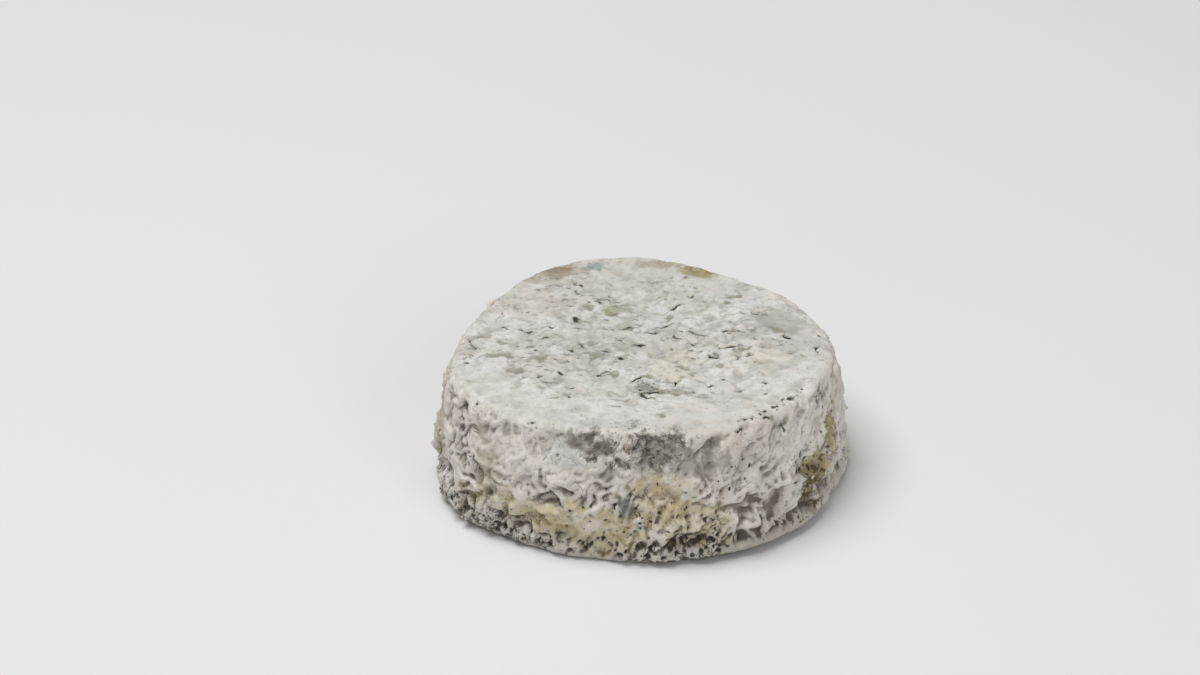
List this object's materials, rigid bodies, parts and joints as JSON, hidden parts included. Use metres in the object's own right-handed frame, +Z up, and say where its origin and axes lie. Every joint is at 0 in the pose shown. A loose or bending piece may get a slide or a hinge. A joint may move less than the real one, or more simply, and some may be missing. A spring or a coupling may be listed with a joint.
{
  "type": "soft goat cheese",
  "caption": "Whole ash-coated soft goat cheese: a low drum, slightly wider at the foot, with a wrinkled pale rind and a flat foot to stand on.",
  "frame": {"origin": "centre of the foot's bounding rectangle, on the plane that the cheese stands on", "axes": "+Z up out of the top, +X along the widest direction, -Y toward the side seen in the picture"},
  "size_m": [0.0956, 0.0912, 0.0334],
  "materials": {
    "rind": "dry, soft, matte bloom over grey ash, with cream paste showing low down"
  },
  "bodies": {
    "root": {"cheese": "rind"}
  },
  "joints": []
}
